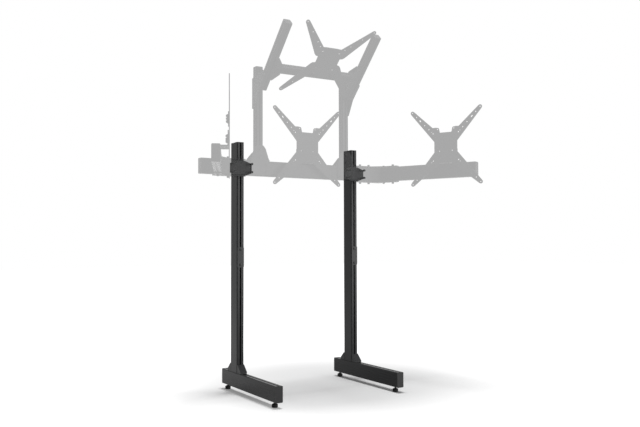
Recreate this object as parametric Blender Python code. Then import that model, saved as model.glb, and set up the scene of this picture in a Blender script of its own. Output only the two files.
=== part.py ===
# Freestanding monitor stand of slotted profile: two legs, a height-adjustable beam, two angled
# side arms, three upright monitor plates and a tilting overhead frame with a fourth plate.
import bpy
import bmesh
from math import atan2, cos, pi, radians, sin, sqrt
from mathutils import Matrix, Vector

# Slotted 40 x 80 and 40 x 40 profiles
PROFILE_W = 0.040
PROFILE_H = 0.080
CORNER_R = 0.0045
WALL = 0.0022
SLOT_HALF = 0.0041
SLOT_LIP = 0.0025
CAVITY_HALF = 0.009
CAVITY_SIDE = 0.0065
CAVITY_FLOOR_HALF = 0.0055
CAVITY_DEPTH = 0.0115
CORE_R = 0.0034
COVER_INSET = 0.0004
COVER_LET_IN = 0.001
FIT = 0.0003
EDGE_INSET = 0.001

# Legs
POST_FROM_BEAM_END = 0.2425
POST_PART = 0.605
FOOT_AHEAD = 0.4665
FOOT_BEHIND = 0.1455
FOOT_CLEAR = 0.028
CAP_T = 0.0035
PAD_R = 0.0150
PAD_H = 0.0195
PAD_SOLE_IN = 0.0015
PAD_SOLE_H = 0.0025
PAD_SHOULDER = 0.004
PAD_COLLAR = 0.002
PAD_NECK_R = 0.0090
PAD_FROM_REAR = 0.030
PAD_FROM_FRONT = 0.041
STUD_R = 0.0036
STUD_LENGTH = 0.0265
PAD_UP = 0.006
LEG_BRACKET_DEPTH = 0.040
LEG_BRACKET_HEIGHT = 0.043
LEG_BRACKET_LIP = 0.008
LEG_BRACKET_STEP = (0.004, 0.005)
LEG_BRACKET_NOSE = (0.006, 0.004)
LEG_BRACKET_W = 0.038
SPLICE_LENGTH = 0.106
SPLICE_W = 0.036
SPLICE_T = 0.004
SPLICE_BOLT = 0.040

# Main beam and the brackets that hold it on the posts
BEAM_BELOW_TOP = 0.0958
BEAM_HALF = 0.6025
BRACKET_T = 0.0065
BRACKET_HALF = 0.062
BRACKET_MID_H = 0.080
BRACKET_END_H = 0.050
BRACKET_MID_MARGIN = 0.002
BRACKET_BOLT_X = 0.048
FACE_BOLT_Z = 0.0215

# Angled side arms
ARM_ANGLE = radians(65.5)
ARM_LENGTH = 0.5865
ARM_INSET = 0.1048
ARM_AHEAD = 0.0219
ARM_PIVOT = 0.012
ARM_LOCK_REACH = 0.060
ARM_SWING = radians(7.0)
HINGE_T = 0.006
HINGE_CLIP = 0.008
HINGE_ELBOW = 0.0283
HINGE_BEAM_REACH = 0.2535
HINGE_ARM_REACH = 0.105
HINGE_BOLT_INSET = 0.1575
HINGE_BOLT_PITCH = 0.060

# Monitor plates
VESA_OFFSET = 0.036
VESA_RISE = 0.087
VESA_T = 0.004
VESA_REACH = 0.200
VESA_TIP_R = 0.011
VESA_WAIST = 0.067
VESA_WAIST_RISE = 0.0288
VESA_BOTTOM = 0.0345
VESA_ROOT = (0.077, 0.1065)
VESA_EAR = ((0.0585, 0.1075), (0.0425, 0.1045), (0.0395, 0.0995), (0.0355, 0.080), (0.0325, 0.078))
VESA_EAR_HOLE = (0.0485, 0.0975)
VESA_HOLE_R = 0.0036
VESA_HOLES_IN = (0.0, 0.025, 0.075, 0.100, 0.125)
VESA_SMALL_IN = 0.116
VESA_SMALL_R = 0.0026
VESA_SLOT_IN = 0.0475
ARM_VESA_FROM_END = 0.1542
STIFFENER_HALF = 0.042
STIFFENER_LOW = 0.015
STIFFENER_HIGH = 0.074
STIFFENER_T = 0.004
CARRIAGE_HALF = 0.066
CARRIAGE_T = 0.005
CARRIAGE_TOP = 0.015
CARRIAGE_BEND = 0.003
CARRIAGE_SHORT = 0.002
CARRIAGE_HOLES = ((0.037, 0.0227), (0.031, 0.0575))
FLANGE_BOLT_X = 0.045

# Uprights and the plates at their feet
UPRIGHT_CORNER_GAP = 0.0172
UPRIGHT_LENGTH = 0.504
FACE_PLATE_T = 0.005
FACE_PLATE_HALF = 0.053
FACE_PLATE_NECK = 0.034
FACE_PLATE_TIP = 0.020
FACE_PLATE_RISE = 0.082
FACE_PLATE_SHOULDER = 0.064
FACE_PLATE_MARGIN = 0.006
FACE_PLATE_BOLT_X = 0.0365
FACE_PLATE_BOLTS_UP = (0.0165, 0.059)
CORNER_LEG = 0.040
CORNER_HEIGHT = 0.046
CORNER_T = 0.006
CORNER_RIB = 0.004
CORNER_W = 0.036

# Leaning arms, crossbar and overhead plate
TILT = radians(45.0)
LEAN_LENGTH = 0.403
LEAN_AHEAD = 0.0279
LEAN_RISE = 0.3831
LEAN_PIVOT = 0.025
LEAN_LOCK_REACH = 0.050
LEAN_SWING = radians(10.0)
TILT_PLATE_T = 0.005
TILT_PLATE_REACH = 0.100
TILT_PLATE_DROP = 0.102
TILT_PLATE_RISE = 0.060
TILT_PLATE_NOSE = 0.002
TILT_PLATE_TAPER = 0.008
TILT_BOLT_DROP = 0.082
TILT_BOLT_RISE = 0.042
CROSSBAR_S = 0.1313
OVERHEAD_RISE = 0.0986
OVERHEAD_OFFSET = 0.039
OVERHEAD_EDGE = (0.055, 0.075)
OVERHEAD_WAIST = ((0.090, 0.029), (0.081, 0.0215), (0.069, 0.0195), (0.0655, 0.016))
OVERHEAD_HOLES_IN = (0.0, 0.050)
OVERHEAD_HOLES = (0.100, 0.075, 0.050)
OVERHEAD_CARRIAGE_HALF = 0.042
OVERHEAD_CARRIAGE_HOLES = ((0.031, 0.031), (0.031, 0.0575))
OVERHEAD_FLANGE_BOLT_X = 0.030

# Pivot bolts and bolt holes
SHANK_R = 0.0036
HOLE_R = 0.0042
HEAD_R = 0.0068
HEAD_H = 0.0048
HEAD_TOP_R = 0.0041
NUT_H = 0.0055
BOLT_TAIL = 0.002
TEE_R = 0.0075
TEE_T = 0.0032

# Finishes: colour, roughness and metallic share
BLACK_SATIN = ((0.035, 0.036, 0.038), 0.45, 0.4)
BLACK_COVER = ((0.03, 0.03, 0.031), 0.6, 0.0)
PALE_GREY = ((0.42, 0.42, 0.43), 0.5, 0.3)
BOLT_STEEL = ((0.12, 0.12, 0.125), 0.4, 0.9)

# Facets of small round holes and of turned pieces
HOLE_SIDES = 8
TURNED_SIDES = 16

# Places that follow from the sizes above
POST_X = BEAM_HALF - POST_FROM_BEAM_END
UPRIGHT_FROM_HINGE = UPRIGHT_CORNER_GAP + CORNER_LEG + FIT + PROFILE_W / 2
UPRIGHT_X = BEAM_HALF - HINGE_BEAM_REACH - UPRIGHT_FROM_HINGE
FOOT_TOP = FOOT_CLEAR + PROFILE_H
POST_FRONT = -PROFILE_H / 2
SPLICE_Z = FOOT_TOP + FIT + POST_PART
POST_TOP = SPLICE_Z + FIT + POST_PART
BEAM_TOP = POST_TOP - BEAM_BELOW_TOP
BEAM_Z = BEAM_TOP - PROFILE_H / 2
BEAM_BOTTOM = BEAM_TOP - PROFILE_H
BEAM_BACK = POST_FRONT - BRACKET_T - 2 * FIT
BEAM_Y = BEAM_BACK - PROFILE_W / 2
BEAM_FRONT = BEAM_BACK - PROFILE_W
ARM_START = (BEAM_HALF - ARM_INSET, BEAM_FRONT - ARM_AHEAD)
ARM_VESA_S = ARM_LENGTH - ARM_VESA_FROM_END
HINGE_BOLTS = (BEAM_HALF - HINGE_BOLT_INSET - HINGE_BOLT_PITCH, BEAM_HALF - HINGE_BOLT_INSET)
LEAN_FOOT = (BEAM_FRONT - LEAN_AHEAD, BEAM_TOP + LEAN_RISE)
OVERHEAD_S = CROSSBAR_S + PROFILE_W / 2 + OVERHEAD_RISE


def clearScene():
    for old in list(bpy.data.objects):
        bpy.data.objects.remove(old, do_unlink=True)


def paint(name, finish):
    colour, roughness, metallic = finish
    material = bpy.data.materials.new(name)
    material.use_nodes = True
    shader = material.node_tree.nodes["Principled BSDF"]
    shader.inputs["Base Color"].default_value = (*colour, 1.0)
    shader.inputs["Roughness"].default_value = roughness
    shader.inputs["Metallic"].default_value = metallic
    material.diffuse_color = (*colour, 1.0)
    return material


def meshObject(name, bm, material):
    bmesh.ops.recalc_face_normals(bm, faces=bm.faces)
    mesh = bpy.data.meshes.new(name)
    bm.to_mesh(mesh)
    bm.free()
    mesh.materials.append(material)
    piece = bpy.data.objects.new(name, mesh)
    bpy.context.scene.collection.objects.link(piece)
    return piece


def moveOrigin(piece, point):
    piece.data.transform(Matrix.Translation(piece.location - Vector(point)))
    piece.location = point


def mirrored(piece):
    # The same piece on the left side of the stand
    twin = piece.copy()
    twin.data = piece.data.copy()
    twin.name = piece.name.replace("_right", "_left")
    twin.data.name = twin.name
    bpy.context.scene.collection.objects.link(twin)
    twin.data.transform(Matrix.Scale(-1.0, 4, (1, 0, 0)))
    twin.data.flip_normals()
    twin.location.x = -piece.location.x
    return twin


def arc(centre, radius, start, end, steps):
    points = []
    for i in range(steps + 1):
        a = start + (end - start) * i / steps
        points.append((centre[0] + radius * cos(a), centre[1] + radius * sin(a)))
    return points


def circle(centre, radius):
    turn = pi / HOLE_SIDES
    return arc(centre, radius, turn, turn + 2 * pi * (HOLE_SIDES - 1) / HOLE_SIDES, HOLE_SIDES - 1)


def straightSlot(centre, angle, half, radius):
    dx, dy = cos(angle) * half, sin(angle) * half
    ahead = arc((centre[0] + dx, centre[1] + dy), radius, angle - pi / 2, angle + pi / 2, 3)
    behind = arc((centre[0] - dx, centre[1] - dy), radius, angle + pi / 2, angle + 3 * pi / 2, 3)
    return ahead + behind


def arcSlot(centre, radius, middle, spread, half):
    # A slot that follows an arc about the centre point
    low, high = middle - spread, middle + spread
    outer = arc(centre, radius + half, low, high, 3)
    inner = arc(centre, radius - half, high, low, 3)
    ends = []
    for a, turn in ((high, high), (low, low + pi)):
        end = (centre[0] + radius * cos(a), centre[1] + radius * sin(a))
        ends.append(arc(end, half, turn, turn + pi, 4)[1:-1])
    return outer + ends[0] + inner + ends[1]


def roundedBar(halfX, halfY, radius):
    corners = ((halfX, halfY, 0.0), (-halfX, halfY, pi / 2), (-halfX, -halfY, pi),
               (halfX, -halfY, 3 * pi / 2))
    points = []
    for x, y, a in corners:
        centre = (x - radius if x > 0 else x + radius, y - radius if y > 0 else y + radius)
        points += arc(centre, radius, a, a + pi / 2, 3)
    return points


def frameOf(origin, xAxis, yAxis, zAxis):
    rows = [[xAxis[i], yAxis[i], zAxis[i], origin[i]] for i in range(3)]
    return Matrix(rows + [[0.0, 0.0, 0.0, 1.0]])


def extrude(name, loops, depth, material, place):
    # Fills closed 2D loops, the first as outline and the rest as holes, then lifts them along +Z
    bm = bmesh.new()
    edges = []
    for loop in loops:
        verts = [bm.verts.new((x, y, 0.0)) for x, y in loop]
        for i, vert in enumerate(verts):
            edges.append(bm.edges.new((vert, verts[(i + 1) % len(verts)])))
    bmesh.ops.triangle_fill(bm, use_beauty=True, use_dissolve=False, edges=edges)
    lifted = bmesh.ops.extrude_face_region(bm, geom=bm.faces[:])
    top = [item for item in lifted["geom"] if isinstance(item, bmesh.types.BMVert)]
    bmesh.ops.translate(bm, verts=top, vec=(0.0, 0.0, depth))
    bmesh.ops.transform(bm, matrix=place, verts=bm.verts)
    return meshObject(name, bm, material)


def turnSolid(bm, rings, place, sides):
    # A turned solid about local Z from (radius, height) rings, closed by flat ends
    loops = []
    for radius, height in rings:
        loop = []
        for i in range(sides):
            a = 2 * pi * (i + 0.5) / sides
            loop.append(bm.verts.new(place @ Vector((radius * cos(a), radius * sin(a), height))))
        loops.append(loop)
    for lower, upper in zip(loops, loops[1:]):
        for i in range(sides):
            j = (i + 1) % sides
            bm.faces.new((lower[i], lower[j], upper[j], upper[i]))
    bm.faces.new(list(reversed(loops[0])))
    bm.faces.new(loops[-1])


def facing(point, direction):
    turn = Vector((0, 0, 1)).rotation_difference(Vector(direction)).to_matrix().to_4x4()
    return Matrix.Translation(point) @ turn


def turned(name, rings, place, material):
    bm = bmesh.new()
    turnSolid(bm, rings, place, TURNED_SIDES)
    piece = meshObject(name, bm, material)
    piece.data.shade_smooth()
    piece.data.set_sharp_from_angle(angle=radians(35))
    return piece


def combine(piece, cutter, operation):
    change = piece.modifiers.new("combine", "BOOLEAN")
    change.object = cutter
    change.operation = operation
    change.solver = "EXACT"
    depsgraph = bpy.context.evaluated_depsgraph_get()
    result = bpy.data.meshes.new_from_object(piece.evaluated_get(depsgraph))
    piece.modifiers.clear()
    piece.data = result
    bpy.data.objects.remove(cutter, do_unlink=True)


def drill(piece, holes):
    # Each hole is (start point, direction, length)
    bm = bmesh.new()
    for start, direction, length in holes:
        turnSolid(bm, [(HOLE_R, 0.0), (HOLE_R, length)], facing(start, direction), HOLE_SIDES)
    combine(piece, meshObject("drill", bm, piece.data.materials[0]), "DIFFERENCE")


def slotPath(half, tangent, inward):
    # One T-slot in a face that lies half away from the centre, walked along the tangent
    steps = ((-SLOT_HALF, 0.0), (-SLOT_HALF, SLOT_LIP), (-CAVITY_HALF, SLOT_LIP),
             (-CAVITY_HALF, CAVITY_SIDE), (-CAVITY_FLOOR_HALF, CAVITY_DEPTH))
    path = []
    for along, deep in steps + tuple((-a, d) for a, d in reversed(steps)):
        path.append((tangent[0] * along + inward[0] * (deep - half),
                     tangent[1] * along + inward[1] * (deep - half)))
    return path


def profileLoops(width, height, slotted):
    # Outline of the slotted profile and its hollow chambers or core hole
    hw, hh = width / 2, height / 2
    sides = (("bottom", hh, (1, 0), (0, 1)), ("right", hw, (0, 1), (-1, 0)),
             ("top", hh, (-1, 0), (0, -1)), ("left", hw, (0, -1), (1, 0)))
    corners = ((hw, -hh), (hw, hh), (-hw, hh), (-hw, -hh))
    outline = []
    for turn, (side, corner) in enumerate(zip(sides, corners)):
        if side[0] in slotted:
            outline += slotPath(*side[1:])
        x = corner[0] - CORNER_R if corner[0] > 0 else corner[0] + CORNER_R
        y = corner[1] - CORNER_R if corner[1] > 0 else corner[1] + CORNER_R
        start = (turn - 1) * pi / 2
        outline += arc((x, y), CORNER_R, start, start + pi / 2, 2)
    if height == width:
        return [outline, circle((0.0, 0.0), CORE_R)]
    inner = hh - CAVITY_DEPTH - WALL
    side = hw - WALL
    chambers = []
    for low, high in ((-inner, -WALL / 2), (WALL / 2, inner)):
        chambers.append([(-side, low), (side, low), (side, high), (-side, high)])
    return [outline] + chambers


def profile(name, start, length, along, wide, height, material):
    # Local X runs across the 40 mm face and local Y along the wide direction
    slotted = ("bottom", "top") if height > PROFILE_W else ("bottom", "right", "top", "left")
    place = frameOf(start, Vector(wide).cross(Vector(along)), wide, along)
    return extrude(name, profileLoops(PROFILE_W, height, slotted), length, material, place)


def endCap(name, centre, along, wide, material):
    # Flat cover over the end of a 40 x 80 profile, standing out along the profile
    outline = roundedBar(PROFILE_W / 2, PROFILE_H / 2, CORNER_R)
    place = frameOf(centre, Vector(wide).cross(Vector(along)), wide, along)
    return extrude(name, [outline], CAP_T, material, place)


def coverEnd(piece, end, along, wide, height):
    # Closes an open profile end: the cover is let into it and stands out by its thickness
    outline = roundedBar(PROFILE_W / 2 - COVER_INSET, height / 2 - COVER_INSET, CORNER_R)
    start = Vector(end) - Vector(along) * COVER_LET_IN
    place = frameOf(start, Vector(wide).cross(Vector(along)), wide, along)
    cover = extrude("cover", [outline], COVER_LET_IN + CAP_T, piece.data.materials[0], place)
    combine(piece, cover, "UNION")


def buildFoot(material, capMaterial):
    z = FOOT_CLEAR + PROFILE_H / 2
    start = (POST_X, -FOOT_AHEAD, z)
    foot = profile("foot_right", start, FOOT_AHEAD + FOOT_BEHIND, (0, 1, 0), (0, 0, 1), PROFILE_H, material)
    studHole = STUD_LENGTH + PAD_UP
    drill(foot, [((POST_X, y, PAD_H + 2 * FIT), (0, 0, 1), studHole) for y in padPlaces().values()])
    front = endCap("foot_cap_front_right", (POST_X, -FOOT_AHEAD - FIT, z), (0, -1, 0), (0, 0, 1), capMaterial)
    rear = endCap("foot_cap_rear_right", (POST_X, FOOT_BEHIND + FIT, z), (0, 1, 0), (0, 0, 1), capMaterial)
    return [foot, front, rear]


def buildPost(material, capMaterial):
    lower = profile("lower_post_right", (POST_X, 0, FOOT_TOP + FIT), POST_PART, (0, 0, 1), (0, 1, 0),
                    PROFILE_H, material)
    upper = profile("upper_post_right", (POST_X, 0, SPLICE_Z + FIT), POST_PART, (0, 0, 1), (0, 1, 0),
                    PROFILE_H, material)
    cap = endCap("post_cap_right", (POST_X, 0, POST_TOP + FIT), (0, 0, 1), (0, 1, 0), capMaterial)
    return [lower, upper, cap]


def padPlaces():
    return {"rear": FOOT_BEHIND - PAD_FROM_REAR, "front": PAD_FROM_FRONT - FOOT_AHEAD}


def buildPads(material):
    # Levelling feet: a rubber-soled disc under a stud that screws up into the foot's slot
    rings = [(PAD_R - PAD_SOLE_IN, 0.0), (PAD_R, PAD_SOLE_H), (PAD_R, PAD_H - PAD_SHOULDER),
             (PAD_NECK_R, PAD_H - PAD_COLLAR), (PAD_NECK_R, PAD_H), (STUD_R, PAD_H),
             (STUD_R, PAD_H + STUD_LENGTH)]
    pads = []
    for end, y in padPlaces().items():
        spot = (POST_X, y, 0.0)
        pad = turned("levelling_foot_" + end + "_right", rings, Matrix.Translation(spot), material)
        moveOrigin(pad, spot)
        pads.append(pad)
    return pads


def buildLegBrackets(material):
    # Wedges between post and foot, whose slanted face drops to a short upright lip
    deep, tall, lip = LEG_BRACKET_DEPTH, LEG_BRACKET_HEIGHT, LEG_BRACKET_LIP
    stepIn, stepUp = LEG_BRACKET_STEP
    noseLow, noseHigh = LEG_BRACKET_NOSE
    outline = [(0.0, 0.0), (deep, 0.0), (deep, lip), (deep - stepIn, lip + stepUp),
               (noseLow, tall - EDGE_INSET), (noseHigh, tall), (0.0, tall)]
    brackets = []
    for end, side in (("front", -1), ("rear", 1)):
        start = (POST_X - side * LEG_BRACKET_W / 2, side * (PROFILE_H / 2 + FIT), FOOT_TOP + FIT)
        place = frameOf(start, (0, side, 0), (0, 0, 1), (side, 0, 0))
        brackets.append(extrude("base_bracket_" + end + "_right", [outline], LEG_BRACKET_W, material, place))
    return brackets


def buildSplicePlate(material):
    holes = [circle((0.0, side * SPLICE_BOLT), HOLE_R) for side in (-1, 1)]
    place = frameOf((POST_X, POST_FRONT - FIT, SPLICE_Z), (1, 0, 0), (0, 0, 1), (0, -1, 0))
    outline = roundedBar(SPLICE_W / 2, SPLICE_LENGTH / 2, CORNER_R)
    return extrude("splice_plate_right", [outline] + holes, SPLICE_T, material, place)


def squareOfBolts(halfX, halfZ):
    return [(x, z) for x in (-halfX, halfX) for z in (-halfZ, halfZ)]


def buildBeamBracket(material):
    # Plate across the post face, full height in the middle and narrowing to its ends
    middle, end, flat = BRACKET_MID_H / 2, BRACKET_END_H / 2, PROFILE_W / 2 + BRACKET_MID_MARGIN
    outline = [(BRACKET_HALF, -end), (BRACKET_HALF, end), (flat, middle), (-flat, middle),
               (-BRACKET_HALF, end), (-BRACKET_HALF, -end), (-flat, -middle), (flat, -middle)]
    holes = [circle(spot, HOLE_R) for spot in squareOfBolts(BRACKET_BOLT_X, FACE_BOLT_Z)]
    holes += [circle((0.0, z), HOLE_R) for z in (-FACE_BOLT_Z, FACE_BOLT_Z)]
    place = frameOf((POST_X, POST_FRONT - FIT, BEAM_Z), (1, 0, 0), (0, 0, 1), (0, -1, 0))
    return extrude("beam_bracket_right", [outline] + holes, BRACKET_T, material, place)


def buildBeam(material):
    half = BEAM_HALF - CAP_T
    beam = profile("main_beam", (-half, BEAM_Y, BEAM_Z), 2 * half, (1, 0, 0), (0, 0, 1), PROFILE_H, material)
    for side in (-1, 1):
        coverEnd(beam, (side * half, BEAM_Y, BEAM_Z), (side, 0, 0), (0, 0, 1), PROFILE_H)
    through = 2 * WALL
    holes = []
    for side in (-1, 1):
        for x, z in squareOfBolts(BRACKET_BOLT_X, FACE_BOLT_Z):
            holes.append(((side * POST_X + x, BEAM_BACK + WALL, BEAM_Z + z), (0, -1, 0), through + WALL))
        for x, z in squareOfBolts(FACE_PLATE_BOLT_X, FACE_BOLT_Z):
            holes.append(((side * UPRIGHT_X + x, BEAM_FRONT - WALL, BEAM_Z + z), (0, 1, 0), through + WALL))
    drill(beam, holes)
    return beam


def armAxes():
    # Direction of the right side arm and its outer side, in plan
    along = Vector((cos(ARM_ANGLE), -sin(ARM_ANGLE), 0.0))
    outer = Vector((sin(ARM_ANGLE), cos(ARM_ANGLE), 0.0))
    return along, outer


def armPoint(s, t, z):
    # Point beside the right arm: s from its beam end, t out from its inner face
    along, outer = armAxes()
    return Vector((*ARM_START, z)) + along * s + outer * t


def buildSideArm(material):
    along, outer = armAxes()
    start = armPoint(CAP_T, PROFILE_W / 2, BEAM_Z)
    end = armPoint(ARM_LENGTH - CAP_T, PROFILE_W / 2, BEAM_Z)
    arm = profile("side_arm_right", start, ARM_LENGTH - 2 * CAP_T, along, (0, 0, 1), PROFILE_H, material)
    coverEnd(arm, start, -along, (0, 0, 1), PROFILE_H)
    coverEnd(arm, end, along, (0, 0, 1), PROFILE_H)
    drill(arm, [(armPoint(ARM_PIVOT, PROFILE_W / 2, BEAM_BOTTOM - FIT), (0, 0, 1), PROFILE_H + 2 * FIT)])
    moveOrigin(arm, armPoint(ARM_PIVOT, PROFILE_W / 2, BEAM_Z))
    return arm


def hingeOutline():
    # Boomerang in plan: along the beam, across the bend and out along the arm, corners clipped
    inset, clip = EDGE_INSET, HINGE_CLIP
    along, outer = armAxes()
    front, back, end = BEAM_FRONT + inset, BEAM_BACK - inset, BEAM_HALF - HINGE_BEAM_REACH
    points = [(end + clip, back), (end, back - clip), (end, front + clip), (end + clip, front)]
    points.append((HINGE_BOLTS[1] + clip, front))
    points.append(armPoint(HINGE_ELBOW, inset, 0.0).xy)
    for corner, first, second in ((armPoint(HINGE_ARM_REACH, inset, 0.0), -along, outer),
                                  (armPoint(HINGE_ARM_REACH, PROFILE_W - inset, 0.0), -outer, -along)):
        points.append((corner + first * clip).xy)
        points.append((corner + second * clip).xy)
    bend = armPoint(0.0, PROFILE_W - inset, 0.0)
    points.append((bend + along * clip).xy)
    points.append((bend.x - clip, back))
    return points


def buildHingePlates(material):
    pivot = armPoint(ARM_PIVOT, PROFILE_W / 2, 0.0)
    holes = [circle((x, BEAM_Y), HOLE_R) for x in HINGE_BOLTS]
    holes.append(circle((pivot.x, pivot.y), HOLE_R))
    holes.append(arcSlot((pivot.x, pivot.y), ARM_LOCK_REACH, -ARM_ANGLE, ARM_SWING, HOLE_R))
    plates = []
    for level, z in (("top", BEAM_TOP + FIT), ("bottom", BEAM_BOTTOM - FIT - HINGE_T)):
        place = Matrix.Translation((0, 0, z))
        plates.append(extrude("hinge_plate_" + level + "_right", [hingeOutline()] + holes, HINGE_T,
                              material, place))
    return plates


def buildArmPivotBolt(material):
    # Long bolt through both hinge plates and the arm, with its nut below
    top = HINGE_T + 2 * FIT
    seat = -PROFILE_H - top
    rings = [(SHANK_R, seat - NUT_H - BOLT_TAIL), (SHANK_R, seat - NUT_H), (HEAD_R, seat - NUT_H),
             (HEAD_R, seat), (SHANK_R, seat), (SHANK_R, top), (HEAD_R, top),
             (HEAD_R, top + HEAD_H / 2), (HEAD_TOP_R, top + HEAD_H)]
    spot = armPoint(ARM_PIVOT, PROFILE_W / 2, BEAM_TOP)
    bolt = turned("arm_pivot_bolt_right", rings, Matrix.Translation(spot), material)
    moveOrigin(bolt, armPoint(ARM_PIVOT, PROFILE_W / 2, BEAM_Z))
    return bolt


def buildUpright(material):
    start = Vector((UPRIGHT_X, BEAM_Y, BEAM_TOP + FIT))
    length = UPRIGHT_LENGTH - CAP_T
    upright = profile("upright_right", start, length, (0, 0, 1), (0, 1, 0), PROFILE_W, material)
    coverEnd(upright, start + Vector((0, 0, length)), (0, 0, 1), (0, 1, 0), PROFILE_W)
    return upright


def buildFacePlate(material):
    # Front plate: a tapering head on the upright above a wide foot on the beam
    up, low = PROFILE_H / 2, -PROFILE_H / 2 + FACE_PLATE_MARGIN
    right = [(FACE_PLATE_HALF, low), (FACE_PLATE_HALF, up + FACE_PLATE_MARGIN),
             (FACE_PLATE_NECK, up + FACE_PLATE_SHOULDER), (FACE_PLATE_TIP, up + FACE_PLATE_RISE)]
    outline = right + [(-x, z) for x, z in reversed(right)]
    holes = [circle(spot, HOLE_R) for spot in squareOfBolts(FACE_PLATE_BOLT_X, FACE_BOLT_Z)]
    holes += [circle((0.0, up + z), HOLE_R) for z in FACE_PLATE_BOLTS_UP]
    place = frameOf((UPRIGHT_X, BEAM_FRONT - FIT, BEAM_Z), (1, 0, 0), (0, 0, 1), (0, -1, 0))
    return extrude("face_plate_right", [outline] + holes, FACE_PLATE_T, material, place)


def cornerBracket(name, place, material):
    # Cast angle: two legs joined by a slanted rib at either side of an open bolt pocket
    leg, tall, t, rib, wide = CORNER_LEG, CORNER_HEIGHT, CORNER_T, CORNER_RIB, CORNER_W
    solid = [(0.0, 0.0), (leg, 0.0), (leg, t), (t, tall), (0.0, tall)]
    pocket = [(t, t), (2 * leg, t), (2 * leg, 2 * tall), (t, 2 * tall)]
    bracket = extrude(name, [solid], wide, material, Matrix.Identity(4))
    cutter = extrude("pocket", [pocket], wide - 2 * rib, material, Matrix.Translation((0, 0, rib)))
    combine(bracket, cutter, "DIFFERENCE")
    bracket.data.transform(place)
    return bracket


def buildUprightCorners(material):
    # Brackets standing on the beam against both sides of the upright
    corners = []
    for where, side in (("inner", -1), ("outer", 1)):
        x = UPRIGHT_X + side * (PROFILE_W / 2 + FIT)
        start = (x, BEAM_Y + side * CORNER_W / 2, BEAM_TOP + FIT)
        place = frameOf(start, (side, 0, 0), (0, 0, 1), (0, -side, 0))
        corner = cornerBracket("upright_corner_" + where + "_right", place, material)
        drill(corner, [((x + side * CORNER_LEG / 2, BEAM_Y, BEAM_TOP), (0, 0, 1), CORNER_T + 2 * FIT)])
        corners.append(corner)
    return corners


def leanAxes():
    along = Vector((0.0, -sin(TILT), cos(TILT)))
    front = Vector((0.0, -cos(TILT), -sin(TILT)))
    return along, front


def leanPoint(x, s, t):
    # Point beside a leaning arm: s up from its foot, t out towards its lower front
    along, front = leanAxes()
    return Vector((x, *LEAN_FOOT)) + along * s + front * t


def buildLeaningArm(material):
    along, front = leanAxes()
    start = leanPoint(UPRIGHT_X, CAP_T, 0.0)
    end = leanPoint(UPRIGHT_X, LEAN_LENGTH - CAP_T, 0.0)
    arm = profile("leaning_arm_right", start, LEAN_LENGTH - 2 * CAP_T, along, front, PROFILE_W, material)
    coverEnd(arm, start, -along, front, PROFILE_W)
    coverEnd(arm, end, along, front, PROFILE_W)
    drill(arm, [(leanPoint(UPRIGHT_X, -FIT, 0.0), along, CAP_T + COVER_LET_IN + 3 * FIT)])
    moveOrigin(arm, leanPoint(UPRIGHT_X, LEAN_PIVOT, 0.0))
    return arm


def tiltPlateOutline():
    # Side plate in (y, z): down the upright, then out along the lower edge of the leaning arm
    back, base = BEAM_BACK - EDGE_INSET, LEAN_FOOT[1]
    edge = PROFILE_W / 2 - EDGE_INSET
    low = leanPoint(0, TILT_PLATE_NOSE, edge)
    tip = leanPoint(0, TILT_PLATE_REACH, edge)
    top = leanPoint(0, TILT_PLATE_REACH, -edge)
    return [(back, base - TILT_PLATE_DROP), (back, base + TILT_PLATE_RISE), top.yz, tip.yz, low.yz,
            (BEAM_FRONT + EDGE_INSET, base - TILT_PLATE_DROP + TILT_PLATE_TAPER)]


def tiltPlateBolts():
    return [(BEAM_Y, LEAN_FOOT[1] - TILT_BOLT_DROP), (BEAM_Y, LEAN_FOOT[1] + TILT_BOLT_RISE)]


def buildTiltPlate(material):
    pivot = leanPoint(0, LEAN_PIVOT, 0.0).yz
    holes = [circle(spot, HOLE_R) for spot in tiltPlateBolts()]
    holes.append(circle(pivot, HOLE_R))
    holes.append(arcSlot(pivot, LEAN_LOCK_REACH, pi / 2 + TILT, LEAN_SWING, HOLE_R))
    place = frameOf((UPRIGHT_X + PROFILE_W / 2 + FIT, 0, 0), (0, 1, 0), (0, 0, 1), (1, 0, 0))
    return extrude("tilt_plate_right", [tiltPlateOutline()] + holes, TILT_PLATE_T, material, place)


def buildTiltPivotBolt(material):
    # Tee-headed bolt: its foot sits in the arm's slot and its head outside the side plate
    grip = TILT_PLATE_T + 2 * FIT
    tee = -SLOT_LIP - FIT
    rings = [(TEE_R, tee - TEE_T), (TEE_R, tee), (SHANK_R, tee), (SHANK_R, grip), (HEAD_R, grip),
             (HEAD_R, grip + HEAD_H / 2), (HEAD_TOP_R, grip + HEAD_H)]
    spot = leanPoint(UPRIGHT_X + PROFILE_W / 2, LEAN_PIVOT, 0.0)
    bolt = turned("tilt_pivot_bolt_right", rings, facing(spot, (1, 0, 0)), material)
    moveOrigin(bolt, leanPoint(UPRIGHT_X, LEAN_PIVOT, 0.0))
    return bolt


def buildCrossbar(material):
    along, front = leanAxes()
    half = UPRIGHT_X - PROFILE_W / 2 - FIT
    start = leanPoint(-half, CROSSBAR_S, 0.0)
    bar = profile("crossbar", start, 2 * half, (1, 0, 0), along, PROFILE_W, material)
    moveOrigin(bar, leanPoint(0.0, CROSSBAR_S, 0.0))
    return bar


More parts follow.
